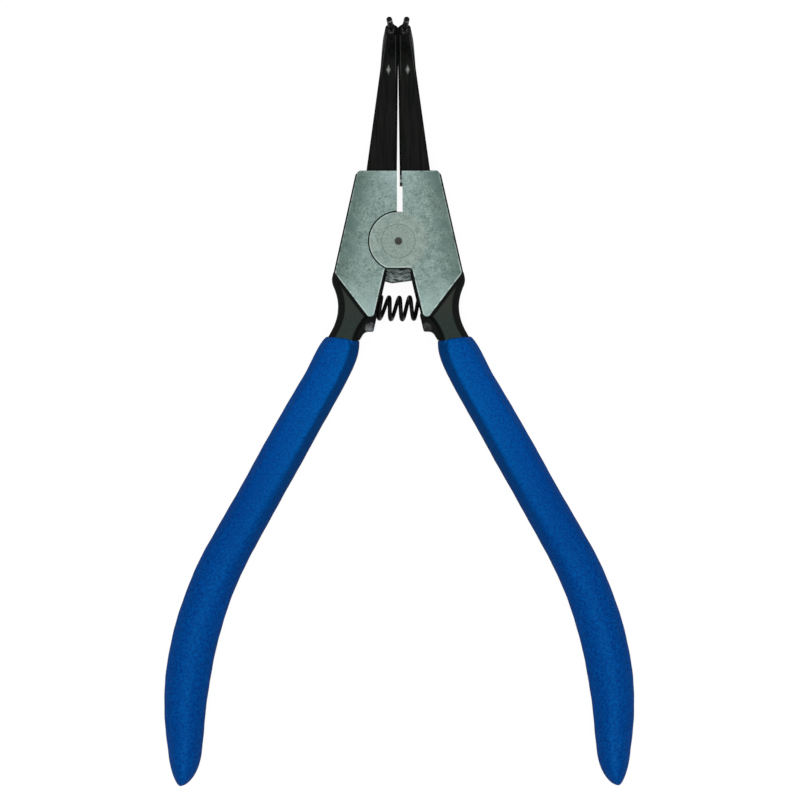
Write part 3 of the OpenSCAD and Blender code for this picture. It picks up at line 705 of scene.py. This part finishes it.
def forged_steel():
    """Black forging with ground faces. Ground steel lies at the height of either face, below the noses. A
    milled face looks up or down elsewhere inside the ground outline, or at the height of the lap. The ground
    steel is grained, clouded, darker towards its outer edges and lighter towards the foot, with painted
    highlights down its middle and along its rims. The forging is painted lighter on its flats that face up,
    as light falls on them, with painted shadow beside the ground outline and on the low block, and a painted
    glint on the spring's boss. The noses are streaked, with painted highlights on their bevels and at the
    end of the taper, and one painted reflection each where the bend starts."""
    material, tree = new_tree("forged_and_ground_steel")
    point, x, y, z = tree.place()
    across = abs(x)
    away = (x * x + y * y) ** 0.5
    normal = tree.add("SeparateXYZ", sockets={"Vector": tree.add("TexCoord").out("Normal")})
    facing, sideways = abs(normal.out("Z")), abs(normal.out("X"))
    past = past_outline(tree, across, y)

    below_nose = 1 - tree.rise(y, head_top[1] + 0.05, head_top[1] + 0.15)
    from_middle = abs(z - mid_z)
    ground = tree.rise(from_middle, mid_z - ground_skin[0], mid_z - ground_skin[1]) * below_nose
    at_lap, well_inside = 1 - tree.rise(from_middle, *lap_skin), 1 - tree.rise(past, *lap_reach)
    inside = tree.math("MAXIMUM", at_lap, well_inside)
    lap = inside * tree.rise(facing, 0.9, 0.99) * below_nose

    speck = tree.rise(tree.noise(point, speck_size, 4.0, 0.7), 0.3, 0.7)
    blotch = tree.rise(tree.noise(point, blotch_size, 3.0, 0.6), 0.3, 0.7)
    cloud = tree.rise(tree.noise(point, cloud_size, 2.0), 0.35, 0.7)
    steel = tree.mix(speck, grain_dark, grain_light)
    patina = tree.mix(blotch, patina_dark, patina_light)
    steel = tree.mix(0.45, steel, patina)
    wide = head_wide[0] - (y - head_wide[1]) * (head_wide[0] - head_top[0]) / (head_top[1] - head_wide[1])
    outer = tree.rise(across - wide, -shadow_w, 0) * tree.rise(y, head_foot[1] + shadow_foot, head_wide[1])
    steel = tree.mix(outer * (0.55 + 0.35 * cloud), steel, edge_shadow)
    steel = tree.mix(cloud * 0.3, steel, cloud_shadow)
    # Lighter towards the foot.
    low = 1 - tree.rise(y, head_foot[1] + tint_foot, head_wide[1])
    steel = tree.mix(low * 0.5, steel, lighter_at_foot)
    # Painted highlight: a lighter band down the middle of the ground face, below the noses.
    middle = (1 - tree.rise(across, *tint_half_w)) * tree.rise(y, front_disc_r, head_top[1])
    steel = tree.mix(middle * (0.15 + 0.35 * cloud), steel, middle_highlight)
    on_disc = 1 - tree.rise(away, front_disc_r - 0.1, front_disc_r)
    steel = tree.mix(on_disc * (0.15 + 0.2 * blotch), steel, disc_tint)
    # Painted highlight: a light line just inside the rims of the ground faces and inside the disc's groove,
    # where the edges catch the light.
    rim_highlight = tree.rise(past, -rim_w, -rim_w / 4) * tree.rise(blotch, 0.1, 0.6)
    disc_rim_highlight = on_disc * tree.rise(away, front_disc_r - rim_w, front_disc_r - rim_w / 2)
    rim_highlight = tree.math("MAXIMUM", rim_highlight, disc_rim_highlight * (1 - tree.rise(x, -3, -1)))
    rim_share = 0.75 - 0.45 * tree.rise(y, head_wide[1], head_wide[1] + rim_fade)
    steel = tree.mix(rim_highlight * rim_share, steel, rim_shine)

    scale = tree.noise(point, scale_size, 4.0, 0.6)
    # Painted light: the forging's flats that face up are lighter, with a warm tint near the head. A band
    # beside the ground outline and the low block's top stay black as painted shadow.
    flat = tree.rise(facing, 0.80, 0.97) * tree.rise(past, *undercut_shadow_reach) * tree.rise(from_middle, *lit_flat_height)
    black = tree.mix(scale, scale_dark, scale_light)
    lit_top = tree.mix(scale, lit_top_dark, lit_top_light)
    lit_top = tree.mix(0.6 * tree.rise(y, warm_low, warm_high), lit_top, lit_top_brown)
    black = tree.mix(flat, black, lit_top)
    # Painted glint: a light patch where the spring's boss catches the light.
    from_boss = ((across - boss_mark[0]) ** 2 + (y - boss_mark[1]) ** 2) ** 0.5
    boss_glint = (1 - tree.rise(from_boss + 0.5 * scale, boss_near, boss_far)) * tree.rise(facing, 0.3, 0.8)
    boss_glint = boss_glint * tree.rise(z, mid_z, head_t) * (1 - 0.75 * tree.rise(x, -1, 1))
    black = tree.mix(boss_glint * (0.15 + 0.85 * blotch), black, boss_shine)
    streaks = tree.add("VectorMath", {"operation": "MULTIPLY"}, {0: point, 1: streak_stretch})
    streaks = tree.rise(tree.noise(streaks, 1.0, 3.0), 0.3, 0.7)
    blued = tree.mix(streaks, blued_dark, blued_light)
    # Painted highlights: light lines along the noses' bevels near the bend.
    corner = tree.rise(sideways, 0.08, 0.25) * (1 - tree.rise(sideways, 0.45, 0.62))
    blued = tree.mix(corner * tree.rise(y, nose_len - 3, nose_len + 1), blued, bevel_glint)
    # Painted highlight: a light crescent where each nose's end tapers to its pin.
    height = up_the_tip(across, y, z)
    end_highlight = tree.rise(height, 0.5, 0.8) * (1 - tree.rise(height, 1.0, 1.3)) * tree.rise(scale, 0.35, 0.6)
    end_highlight = end_highlight * (1 - tree.rise(abs(across - float(tip_base[0])), 0.5, 1.0))
    blued = tree.mix(0.8 * end_highlight, blued, end_highlight_colour)
    # Painted reflection: a lozenge of light on each nose where the bend starts.
    reflection_mask = abs(across - reflection_spot[0]) / reflection_size[0] + abs(y - reflection_spot[1]) / reflection_size[1] + 0.35 * scale
    reflection_mask = (1 - tree.rise(reflection_mask, 0.1, 1.15)) * tree.rise(z, mid_z, mid_z + 1)
    blued = tree.mix(reflection_mask, blued, reflection_shine)
    black = tree.mix(below_nose, blued, black)
    cuts = tree.add("CombineXYZ", sockets={"X": away, "Y": 0.25 * x, "Z": 0.1 * z})
    cuts = tree.rise(tree.noise(cuts, cut_size, 4.0, 0.7), 0.35, 0.65)
    milled = tree.mix(cuts, milled_dark, milled_light)

    colour = tree.mix(lap, black, milled)
    colour = tree.mix(ground, colour, steel)
    bright = tree.math("MINIMUM", ground + lap, 1.0)
    rough = (0.36 + 0.16 * speck) * ground + (1 - ground) * (0.5 + 0.12 * scale)
    relief_height = speck * ground * 0.4 + scale * (1 - ground)
    tree.finish({
        "Base Color": colour,
        "Metallic": 0.6 * bright,
        "Roughness": rough,
        "Specular IOR Level": 0.04,
        "Normal": tree.bump(relief_height, 0.025),
    })
    return material


forged = forged_steel()
for mesh, name, body, node in (
    (right_mesh, "right_forging", "right_side", "right_half"),
    (left_mesh, "left_forging", "left_side", "left_half"),
):
    mesh.materials.clear()
    mesh.materials.append(forged)
    mesh.shade_smooth()
    mesh.set_sharp_from_angle(angle=np.radians(30))
    half_piece = put(name, mesh)
    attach(half_piece, body)
    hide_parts(node)
    even = half_piece.modifiers.new("even", "WEIGHTED_NORMAL")
    even.keep_sharp = True

# Pivot rivet
# A soft steel rivet in countersinks on both faces, peened over and ground flush with the head.
# A small centre mark is left in its front end.

axis_r = 0.02
rivet_lip = 0.03
mark_r, mark_t = 0.9, 0.5
mark_lip, mark_lip_t = 0.04, 0.03
rivet_dark, rivet_light = shade(86, 100, 94), shade(114, 128, 122)
seam_shadow, mark_shadow = shade(56, 64, 60), shade(24, 28, 27)
rivet_profile = np.concatenate([
    [[axis_r, 0], [rivet_head_r - 2 * rivet_lip, 0], [rivet_head_r - rivet_lip, rivet_lip]],
    [[rivet_r, rivet_head_t], [rivet_r, head_t - rivet_head_t]],
    [[rivet_head_r - rivet_lip, head_t - rivet_lip], [rivet_head_r - 2 * rivet_lip, head_t]],
    [[mark_r + 3 * mark_lip, head_t], [mark_r + mark_lip, head_t - mark_lip_t]],
    [[mark_r * share, head_t - mark_t * (1 - share)] for share in np.linspace(0.95, 0.03, 10)],
])


def ground_rivet():
    """Ground steel with a fine grain, a faint darker ring along its edge and a dark centre mark."""
    material, tree = new_tree("ground_rivet_steel")
    point, x, y, z = tree.place()
    away = (x * x + y * y) ** 0.5
    fine = tree.noise(point, 0.3, 4.0, 0.6)
    steel = tree.mix(tree.rise(fine, 0.3, 0.7), rivet_dark, rivet_light)
    seam = tree.rise(away, rivet_head_r - 0.3, rivet_head_r - 0.05)
    mark = (1 - tree.rise(away, mark_r - 0.15, mark_r + 0.1)) * tree.rise(z, mid_z, mid_z + 1)
    steel = tree.mix(seam * 0.15, steel, seam_shadow)
    steel = tree.mix(mark, steel, mark_shadow)
    tree.finish({
        "Base Color": steel,
        "Metallic": 0.6 * (1 - mark),
        "Roughness": 0.38 + 0.14 * fine,
        "Normal": tree.bump(fine, 0.008),
    })
    return material


rivet_mesh = mesh_from_rings("rivet", turned(rivet_profile, count=128))
rivet_mesh.shade_smooth()
rivet_mesh.set_sharp_from_angle(angle=np.radians(30))
rivet_mesh.materials.append(ground_rivet())
rivet = put("rivet", rivet_mesh)
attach(rivet, "left_side")
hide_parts("pivot_rivet")

# Return spring
# A compression spring of oiled spring wire, coiled open with closed ends, bent into a slight bow between
# the two pockets. It spreads the handles and closes the tips. Its left end has more closed turns.

coil_d, wire_d = 5.1, 0.95
coil_pitch, closed_gap = 2.5, 0.05
left_turns, right_turns = 4.4, 0.75
coil_lean = np.radians(7)
closed_pitch = wire_d + closed_gap
wire_travel = spring_len - wire_d
open_turns = (wire_travel - (left_turns + right_turns) * closed_pitch) / coil_pitch
coil_turns = left_turns + open_turns + right_turns
middle_turn = left_turns + (wire_travel / 2 - left_turns * closed_pitch) / coil_pitch
first_coil = np.radians(20)
wire_dark, wire_light = shade(3, 3, 3), shade(13, 14, 14)


def wire_middle(t):
    """The wire after t turns: a circle of the coil's radius, leaned a little, about a point that travels
    along the bow. The point comes with it."""
    closed = np.minimum(t, left_turns) + np.maximum(0, t - left_turns - open_turns)
    s = closed_pitch * closed + coil_pitch * np.clip(t - left_turns, 0, open_turns) - wire_travel / 2
    a, w = s / spring_bow, first_coil + 2 * np.pi * (t - middle_turn)
    bow_x, bow_y = on_bow(a)
    up = coil_d / 2 * np.cos(w)
    x = bow_x - up * np.sin(a - coil_lean)
    y = bow_y + up * np.cos(a - coil_lean)
    z = mid_z + coil_d / 2 * np.sin(w)
    return np.stack([x, y, z], -1), np.stack([bow_x, bow_y, np.full_like(a, mid_z)], -1)


def wire_rings(around=20, per_turn=56, cap_steps=5):
    """A tube about the wire's line. Its radius grows as a sine at each end, which rounds it off."""
    t = np.linspace(0, coil_turns, int(coil_turns * per_turn))
    middle, axis = wire_middle(t)
    along = unit(np.gradient(middle, axis=0))
    side = unit(middle - axis)
    other = np.cross(along, side)
    a = np.linspace(0, 2 * np.pi, around, endpoint=False)[None, :, None]
    radius = np.full(len(t), wire_d / 2)
    cap = np.sin(np.linspace(0.05, np.pi / 2, cap_steps))
    radius[:cap_steps] *= cap
    radius[-cap_steps:] *= cap[::-1]
    return middle[:, None] + radius[:, None, None] * (np.cos(a) * side[:, None] + np.sin(a) * other[:, None])


def oiled_wire():
    """Near black with faint drawing marks and a thin film of oil."""
    material, tree = new_tree("oiled_spring_wire")
    point = tree.place()[0]
    film = tree.noise(point, 0.8, 3.0)
    tree.finish({
        "Base Color": tree.mix(film, wire_dark, wire_light),
        "Roughness": 0.32 + 0.2 * film,
        "Specular IOR Level": 0.05,
        "Normal": tree.bump(tree.noise(point, 0.15, 3.0), 0.006),
    })
    return material


spring_mesh = mesh_from_rings("spring", wire_rings())
spring_mesh.shade_smooth()
spring_mesh.materials.append(oiled_wire())
spring = put("spring", spring_mesh)
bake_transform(spring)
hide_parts("return_spring")

# Tips
# Two stepped pins of hard spring steel, pressed into the ends of the noses. They lean outward and take
# the holes of the retaining ring.

tip_len, tip_edge = 3.18, 0.15
tip_gap = 0.01
tip_foot = taper_h + tip_gap
tip_end = tip_foot + tip_len
edge_turn = np.radians(np.linspace(10, 90, 5))
edge_r, edge_h = tip_r - tip_edge * (1 - np.cos(edge_turn)), tip_end - tip_edge * (1 - np.sin(edge_turn))
tip_profile = np.concatenate([
    [[axis_r, -shank_len], [shank_r, -shank_len], [shank_r, tip_foot], [tip_r, tip_foot]],
    [[tip_r, tip_end - tip_edge]], np.stack([edge_r, edge_h], 1), [[axis_r, tip_end]],
])
glint_len = 0.7
pin_dark, pin_glint_colour = shade(12, 12, 12), shade(140, 136, 134)


def tip_rings(side):
    """The turned pin, laid along the tip's own axis: base + x * across + y * front + z * along."""
    pin = turned(tip_profile, count=64)
    placed = tip_base + pin[..., :1] * tip_across + pin[..., 1:2] * tip_front + pin[..., 2:] * tip_along
    return placed * (side, 1, 1)


def darkened_pin():
    """Turned and blackened steel, with painted highlights in patches below its end."""
    material, tree = new_tree("darkened_pin_steel")
    point, x, y, z = tree.place()
    height = up_the_tip(abs(x), y, z)
    patch = tree.noise(point, 0.6, 3.0)
    # Painted highlight: light patches on the pin below its end, as on a lit cylinder.
    pin_glint = tree.rise(height, tip_end - glint_len, tip_end - glint_len / 2)
    pin_glint = pin_glint * (1 - tree.rise(height, tip_end - 0.12, tip_end - 0.02))
    pin_glint = pin_glint * tree.rise(patch, 0.35, 0.6)
    tree.finish({
        "Base Color": tree.mix(pin_glint, pin_dark, pin_glint_colour),
        "Metallic": 0.3 * pin_glint,
        "Roughness": 0.36 + 0.2 * patch,
        "Specular IOR Level": 0.08,
        "Normal": tree.bump(tree.noise(point, 0.12, 3.0), 0.006),
    })
    return material


pin_steel = darkened_pin()
for side, name, body, node in (
    (1, "right_pin", "right_side", "right_tip"), (-1, "left_pin", "left_side", "left_tip"),
):
    pin_mesh = mesh_from_rings(name, tip_rings(side))
    pin_mesh.shade_smooth()
    pin_mesh.set_sharp_from_angle(angle=np.radians(35))
    pin_mesh.materials.append(pin_steel)
    pin = put(name, pin_mesh)
    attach(pin, body)
    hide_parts(node)

# Grips
# Soft blue vinyl, made by dipping the hot tangs. The coat follows the bevels of the tang near its mouth and
# rounds off towards the palm and the end, and its surface has the fine mottle of a dipped skin.

mouth_slope, slant_len = 0.13, 8
mouth_out, mouth_out_len = 0.36, 24
lip_len, lip_start, inner_lip = 3.4, 0.15, 0.05
grip_t = 10
end_round, end_shift, end_flat, end_thin = 7.5, 1.1, 0.05, 0.86
grip_hold, hollow_round, hollow_top = 0.03, 0.5, 0.6
coat_bevel_in, coat_bevel_out, coat_bevel_z = 2.3, 1.9, 3.2
palm_bevel, palm_bevel_z = 3.2, 3.4
coat_round, palm_round = 0.9, 3.0
side_bevel_share, face_bevel_share = 0.6, 0.7
dip_wave = ((0.035, 0.8, 0.21, 0, 0), (0.025, 0, 0.5, -1.1, 0.6), (0.02, 0, 1.3, 2.1, 0))
dip_depth = sum(wave[0] for wave in dip_wave)
wave_mouth, wave_end, wave_fade = 3, 2, 6


def grip_section(inner, outer, h, bevel_in, bevel_out, bevel_z, cut):
    """A bevelled section from its inner side to its outer one, h to each face, with its corners softened."""
    d, low_x, high_x = h - bevel_z, inner + bevel_in, outer - bevel_out
    x = [low_x, high_x, outer, outer, high_x, low_x, inner, inner]
    z = [-h, -h, -d, d, h, h, d, -d]
    return softened(np.stack([np.stack(x, 1), np.stack(z, 1)], -1), cut[:, None, None], 8)


def coat_rings():
    """The outside, from the lip at the mouth to the end. Both follow quarter circles, sqrt(1 - t^2)."""
    a = np.radians(np.linspace(0, 90, 9))
    y = -mouth_y - lip_len * (1 - np.cos(a))
    y = np.concatenate([y, np.linspace(-mouth_y - lip_len, -grip_end + end_round, 200)[1:]])
    y = np.concatenate([y, -grip_end + end_round * (1 - np.sin(np.radians(np.linspace(0, 88, 24)[1:])))])
    into_lip = np.maximum(0, 1 + (y + mouth_y) / lip_len)
    lip = lip_start + (1 - lip_start) * np.sqrt(np.maximum(0, 1 - into_lip**2))
    into_end = np.maximum(0, (end_round - grip_end - y) / end_round)
    close = np.sqrt(np.maximum(0, 1 - into_end**2))
    slim = mouth_out * (1 - ease((-mouth_y - y) / mouth_out_len))
    inner = grip_in(y, inner_lip * coat_w * (1 - lip))
    outer = grip_out(y, coat_w * (slim + (1 - mouth_out) * (1 - lip)))
    middle = (inner + outer) / 2 + (1 - close) * end_shift
    hx = (outer - inner) / 2 * close
    thick = mix(body_t, grip_t, lip) * mix(1, end_thin, ease((-palm_y - y) / (grip_end - palm_y)))
    hz = thick / 2 * mix(end_flat, 1, close)
    soft = ease((-mouth_y - y) / (palm_y - mouth_y))
    bevel_in = np.minimum(mix(coat_bevel_in, palm_bevel, soft) * close, side_bevel_share * hx)
    bevel_out = np.minimum(mix(coat_bevel_out, palm_bevel, soft) * close, side_bevel_share * hx)
    bevel_z = np.minimum(mix(coat_bevel_z, palm_bevel_z, soft), face_bevel_share * hz)
    cut = mix(coat_round, palm_round, soft)
    section = grip_section(middle - hx, middle + hx, hz, bevel_in, bevel_out, bevel_z, cut)
    slant = mouth_slope * (1 - ease((-mouth_y - y) / slant_len))[:, None]
    height = y[:, None] + slant * (section[..., 0] - middle[:, None])
    return np.stack([section[..., 0], height, mid_z + section[..., 1]], -1)


def hollow_rings():
    """The inside, from the tang's end up to the mouth, a little wider than the tang."""
    y = np.concatenate([[-tang_end - grip_hold], np.linspace(-tang_end, -mouth_y - hollow_top, 90)])
    inner, outer = neck_in(y) - grip_hold, neck_out(y) + grip_hold
    h = mix(body_t, tang_end_t, ease((-mouth_y - y) / (tang_end - mouth_y))) / 2 + grip_hold
    cut = np.full(len(y), hollow_round)
    section = grip_section(inner, outer, h, tang_bevel_in, tang_bevel_out, tang_bevel_out, cut)
    height = np.broadcast_to(y[:, None], section.shape[:2])
    return np.stack([section[..., 0], height, mid_z + section[..., 1]], -1)


def dip_waves(rings):
    """Slow unevenness of the dip: a sum of waves, depth * sin(p . (x, y, z) + start), that only takes away
    from the full size and fades out towards the mouth and the end."""
    x, y, z = rings[..., 0], rings[..., 1], rings[..., 2]
    wave = sum(depth * np.sin(px * x + py * y + pz * z + start) for depth, px, py, pz, start in dip_wave)
    away = rings - rings.mean(1, keepdims=True)
    away[..., 1] = 0
    fade = ease((-mouth_y - wave_mouth - y) / wave_fade) * ease((y + grip_end - wave_end) / wave_fade)
    return rings + unit(away) * ((wave - dip_depth) * fade)[..., None]


mottle_size, slow_size, crown_highlight_size = 0.55, 7, 0.8
bevel_fade = 20
wrinkle_turn, wrinkle_stretch = np.radians(-35), (0.45, 2.2, 0.3)
wrinkle_y, wrinkle_fade, end_plain = 116, 5, (3, 6)
palm_low, palm_high = -62, -35
upper_low, upper_high = bend_y - 5, bend_y + 20
outer_side, inner_side = (-2.5, 5), (-3, 2)
mottle_dark, mottle_light = shade(0, 44, 110), shade(0, 98, 181)
cloud_dark, cloud_light = shade(0, 62, 136), shade(0, 84, 166)
palm_blue, outer_blue, inner_blue = shade(0, 38, 112), shade(0, 60, 140), shade(2, 98, 172)
bevel_shade_blue, side_shade_blue = shade(0, 38, 84), shade(0, 34, 84)
crown_highlight_blue, wrinkle_glint_blue = shade(6, 104, 180), shade(30, 118, 190)


def blue_vinyl():
    """Satin vinyl: two blues in a fine mottle and in slow clouds, with a painted highlight along the crown,
    painted shade on the inner bevel near the mouth and on the steep sides, and drawn into fine slanting
    wrinkles at the end that carry painted glints."""
    material, tree = new_tree("blue_dipped_vinyl")
    point, x, y = tree.place()[:3]
    mottle = tree.noise(point, mottle_size, 4.0, 0.65)
    cloud = tree.noise(point, slow_size, 3.0)
    across, slope = abs(x), float(np.tan(handle_angle))
    normal = tree.add("SeparateXYZ", sockets={"Vector": tree.add("TexCoord").out("Normal")})
    facing = abs(normal.out("Z"))
    lit_top = tree.rise(facing, 0.6, 0.95)
    to_mouth = tree.rise(y, -palm_y, -mouth_y - bevel_fade)
    tilt = 0 - normal.out("X") * tree.math("SIGN", x)
    inward = tree.rise(tilt, 0.0, 0.5) * to_mouth
    # Painted highlight along the crown, where the surface leans a little inward, broken by a fine grain.
    grain = tree.rise(tree.noise(point, crown_highlight_size, 4.0, 0.7), 0.4, 0.65)
    crown_highlight = tree.rise(tilt + 0.3 * (1 - to_mouth), 0, 0.3) * (1 - tree.rise(tilt, 0.1, 0.5))
    crown_highlight = crown_highlight * (0.1 + 0.9 * grain)
    # Fine slanting wrinkles near the end: real in the bump, and painted glints in the colour.
    sockets = {"Vector": point, "Angle": wrinkle_turn}
    slanting = tree.add("VectorRotate", {"rotation_type": "Z_AXIS"}, sockets)
    slanting = tree.add("VectorMath", {"operation": "MULTIPLY"}, {0: slanting, 1: wrinkle_stretch})
    wrinkle_and_glint = tree.rise(tree.noise(slanting, 1.0, 2.0), 0.5, 0.62) * tree.rise(facing, 0.85, 0.98)
    wrinkle_and_glint = wrinkle_and_glint * (1 - tree.rise(y, -wrinkle_y, wrinkle_fade - wrinkle_y))
    wrinkle_and_glint = wrinkle_and_glint * tree.rise(y, end_plain[0] - grip_end, end_plain[1] - grip_end)
    wrinkle_and_glint = wrinkle_and_glint * (0.4 + 0.6 * tree.rise(x, 0, 1))
    mottle = tree.rise(mottle, 0.3 - 0.05 * to_mouth, 0.7 + 0.05 * to_mouth)
    blue = tree.mix(mottle, mottle_dark, mottle_light)
    deep = tree.mix(cloud, cloud_dark, cloud_light)
    blue = tree.mix(0.3, blue, deep)
    blue = tree.mix(0.33 - 0.33 * tree.rise(y, palm_low, palm_high), blue, palm_blue)
    aside = across + y * slope - float(bend_x + bend_y * slope)
    upper = tree.rise(y, upper_low, upper_high)
    blue = tree.mix(0.4 * upper * tree.rise(aside, *outer_side), blue, outer_blue)
    blue = tree.mix(0.2 * upper * (1 - tree.rise(aside, *inner_side)), blue, inner_blue)
    # Painted shade: the inner bevel near the mouth is darker where it does not face up.
    blue = tree.mix((1 - lit_top) * 0.6 * inward, blue, bevel_shade_blue)
    # Painted shade: the steep sides are darker.
    blue = tree.mix(0.4 - 0.4 * tree.rise(facing, 0.1, 0.5), blue, side_shade_blue)
    blue = tree.mix((0.35 - 0.15 * to_mouth) * crown_highlight, blue, crown_highlight_blue)
    tree.finish({
        "Base Color": tree.mix(0.25 * wrinkle_and_glint, blue, wrinkle_glint_blue),
        "Roughness": 0.5 + 0.18 * mottle,
        "Specular IOR Level": 0.02,
        "Normal": tree.bump(mottle + wrinkle_and_glint, 0.05),
    })
    return material


vinyl = blue_vinyl()
for side, name, body, node in (
    (1, "right_sleeve", "right_side", "right_grip"), (-1, "left_sleeve", "left_side", "left_grip"),
):
    sleeve_rings = np.concatenate([hollow_rings(), dip_waves(coat_rings())]) * (side, 1, 1)
    sleeve_mesh = mesh_from_rings(name, sleeve_rings)
    sleeve_mesh.shade_smooth()
    sleeve_mesh.set_sharp_from_angle(angle=np.radians(50))
    sleeve_mesh.materials.append(vinyl)
    sleeve = put(name, sleeve_mesh)
    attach(sleeve, body)
    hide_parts(node)
